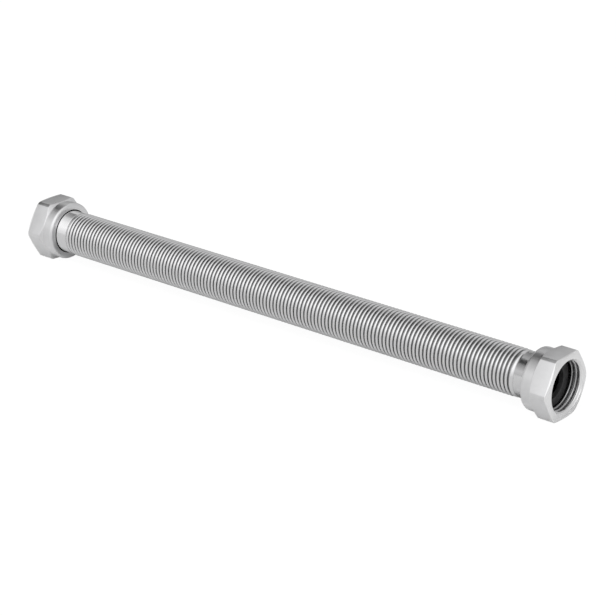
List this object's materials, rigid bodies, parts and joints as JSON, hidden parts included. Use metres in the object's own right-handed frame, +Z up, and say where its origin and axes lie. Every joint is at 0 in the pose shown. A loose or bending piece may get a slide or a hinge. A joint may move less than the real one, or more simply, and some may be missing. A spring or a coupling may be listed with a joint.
{
  "type": "stainless flexible water hose",
  "caption": "Corrugated stainless steel water hose with a loose hexagonal union nut and a flat gasket at each end.",
  "frame": {"origin": "middle of the hose's length, under its axis, on the surface that both nuts lie on", "axes": "+X along the hose's axis towards the right nut, +Y away from the picture's viewer, +Z up"},
  "size_m": [0.2572, 0.0274, 0.024],
  "materials": {
    "stainless_tube": "bright formed stainless steel",
    "nut_metal": "satin machined",
    "gasket_rubber": "matt black"
  },
  "bodies": {
    "hose": {"corrugated_hose": "stainless_tube", "gasket_left": "gasket_rubber", "gasket_right": "gasket_rubber"},
    "nut_left": {"union_nut_left": "nut_metal"},
    "nut_right": {"union_nut_right": "nut_metal"}
  },
  "joints": [
    {"name": "nut_left_swivel", "type": "hinge", "parent": "hose", "child": "nut_left", "pos_m": [-0.1181, 0, 0.012], "axis": [1, 0, 0], "continuous": true},
    {"name": "nut_right_swivel", "type": "hinge", "parent": "hose", "child": "nut_right", "pos_m": [0.1181, 0, 0.012], "axis": [1, 0, 0], "continuous": true}
  ]
}
